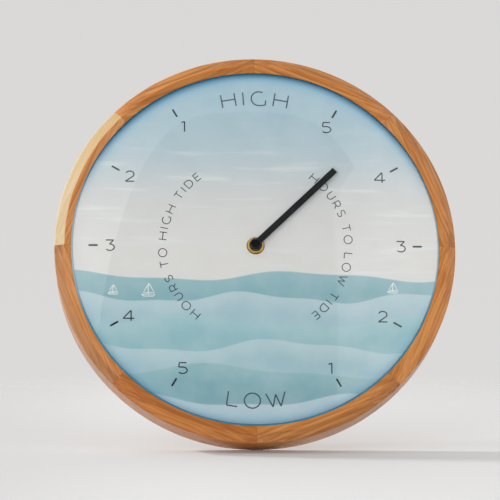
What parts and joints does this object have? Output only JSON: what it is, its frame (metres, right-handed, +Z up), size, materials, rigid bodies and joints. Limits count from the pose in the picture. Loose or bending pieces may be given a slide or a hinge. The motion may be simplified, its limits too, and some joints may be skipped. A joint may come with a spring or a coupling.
{
  "type": "tide clock",
  "caption": "Round wall tide clock: wooden ring frame, domed glass, printed dial, a hand on a geared battery movement with a setting knob at the back.",
  "frame": {"origin": "middle of the hanger's entry hole, on the plane of the wall", "axes": "+Y into the wall, the dial faces -Y; +Z up; +X to the right as seen from the front"},
  "size_m": [0.3, 0.0432, 0.3],
  "materials": {
    "wood_1": "oiled",
    "wood_2": "oiled",
    "wood_3": "oiled",
    "wood_4": "oiled",
    "wood_5": "oiled",
    "wood_6": "oiled",
    "wood_7": "oiled",
    "wood_8": "oiled",
    "dial_print": "matt printed",
    "board": "raw fibreboard",
    "clear_glass": "polished",
    "bead": "glossy translucent blue",
    "steel": "zinc plated",
    "brass": "polished",
    "black_hand": "satin black",
    "black_plastic": "fine texture",
    "rubber": "matt",
    "white_plastic": "moulded",
    "magnet": "sintered",
    "copper": "enamelled copper wire",
    "circuit": "solder mask",
    "cell_jacket": "satin plain jacket"
  },
  "bodies": {
    "clock": {"frame_segment_1": "wood_1", "frame_segment_2": "wood_2", "frame_segment_3": "wood_3", "frame_segment_4": "wood_4", "frame_segment_5": "wood_5", "frame_segment_6": "wood_6", "frame_segment_7": "wood_7", "frame_segment_8": "wood_8", "domed_glass": "clear_glass", "glass_bead": "bead", "dial_sheet": "dial_print", "backing_board": "board", "retaining_points": "steel", "hanger_plate": "steel", "hanger_screws": "steel", "movement_case": "black_plastic", "movement_cover": "black_plastic", "threaded_bush": "brass", "rubber_washer": "rubber", "dial_washer": "brass", "shaft_nut": "brass", "train_bridge": "white_plastic", "movement_screws": "steel", "stator": "steel", "coil_core": "steel", "coil_bobbin": "white_plastic", "coil_winding": "copper", "circuit_board": "circuit", "quartz_crystal": "steel", "chip_cover": "black_plastic", "positive_contact": "steel", "negative_contact": "steel"},
    "hand": {"tide_wheel": "white_plastic", "tide_hand": "black_hand", "hand_cap": "black_hand"},
    "setting": {"setting_arbor": "white_plastic", "setting_knob": "black_plastic", "clutch_spring": "steel"},
    "clutch": {"clutch_wheel": "white_plastic"},
    "third": {"third_wheel": "white_plastic"},
    "second": {"second_wheel": "white_plastic"},
    "first": {"first_wheel": "white_plastic"},
    "rotor": {"rotor_pinion": "white_plastic", "rotor_magnet": "magnet"},
    "battery": {"battery_cell": "cell_jacket"}
  },
  "joints": [
    {"name": "hand_turn", "type": "hinge", "parent": "clock", "child": "hand", "pos_m": [0, 0, -0.131], "axis": [0, 1, 0], "continuous": true},
    {"name": "setting_turn", "type": "hinge", "parent": "clock", "child": "setting", "pos_m": [0, 0, -0.12337], "axis": [0, 1, 0], "continuous": true},
    {"name": "first_wheel_turn", "type": "hinge", "parent": "clock", "child": "first", "pos_m": [0.01446, 0, -0.11382], "axis": [0, 1, 0], "continuous": true},
    {"name": "rotor_turn", "type": "hinge", "parent": "clock", "child": "rotor", "pos_m": [0.00647, 0, -0.11092], "axis": [0, 1, 0], "continuous": true},
    {"name": "second_wheel_turn", "type": "hinge", "parent": "clock", "child": "second", "pos_m": [0.01736, 0, -0.12181], "axis": [0, 1, 0], "continuous": true},
    {"name": "third_wheel_turn", "type": "hinge", "parent": "clock", "child": "third", "pos_m": [0.00886, 0, -0.12181], "axis": [0, 1, 0], "continuous": true},
    {"name": "clutch_wheel_turn", "type": "hinge", "parent": "clock", "child": "clutch", "pos_m": [0, 0, -0.12337], "axis": [0, 1, 0], "continuous": true},
    {"name": "battery_slide", "type": "slide", "parent": "clock", "child": "battery", "axis": [0, 1, 0], "range_m": [0, 0.02]}
  ],
  "couplings": [
    {"joint": "setting_turn", "follows": "hand_turn", "ratio": -6.625},
    {"joint": "rotor_turn", "follows": "first_wheel_turn", "ratio": -7.5},
    {"joint": "second_wheel_turn", "follows": "first_wheel_turn", "ratio": -0.13333},
    {"joint": "third_wheel_turn", "follows": "first_wheel_turn", "ratio": 0.017778},
    {"joint": "clutch_wheel_turn", "follows": "first_wheel_turn", "ratio": -0.0022222}
  ]
}
